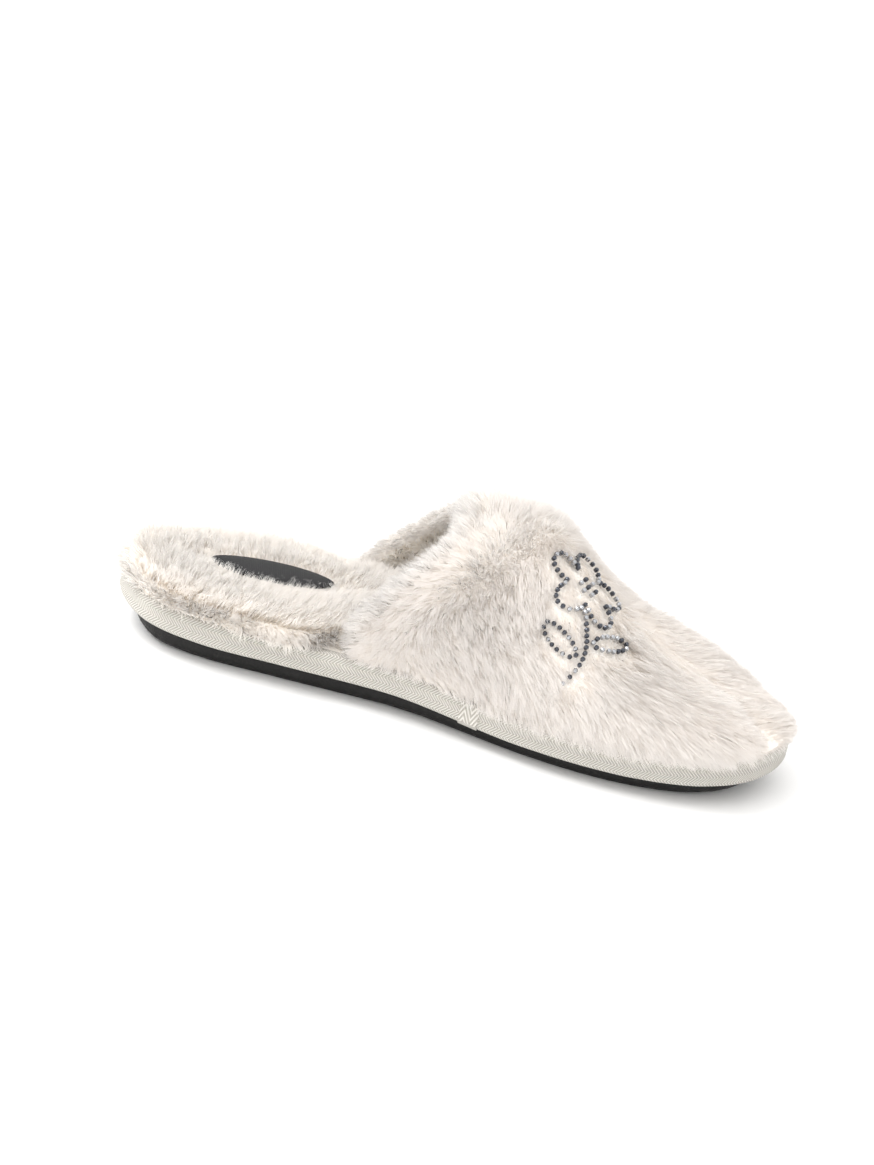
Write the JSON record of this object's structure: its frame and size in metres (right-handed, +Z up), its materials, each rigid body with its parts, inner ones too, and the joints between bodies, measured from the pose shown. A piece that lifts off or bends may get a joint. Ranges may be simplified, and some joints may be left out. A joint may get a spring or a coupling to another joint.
{
  "type": "faux fur mule slipper",
  "caption": "Left mule slipper with a deep-pile fur vamp and rolled collar, plush footbed, tape-bound edge and ribbed rubber outsole.",
  "frame": {"origin": "on the floor, under the middle of the slipper's bounding box", "axes": "+X from heel to toe, +Y to the lateral (outer) side of this left shoe, +Z up"},
  "size_m": [0.2552, 0.117, 0.0764],
  "materials": {
    "rubber_sole": "matte moulded rubber",
    "tape": "herringbone woven tape",
    "plush": "plush pile on foam",
    "label": "black satin weave",
    "fur": "deep faux fur pile"
  },
  "bodies": {
    "root": {"outsole": "rubber_sole", "binding": "tape", "footbed": "plush", "insole_label": "label", "upper": "fur"}
  },
  "joints": []
}
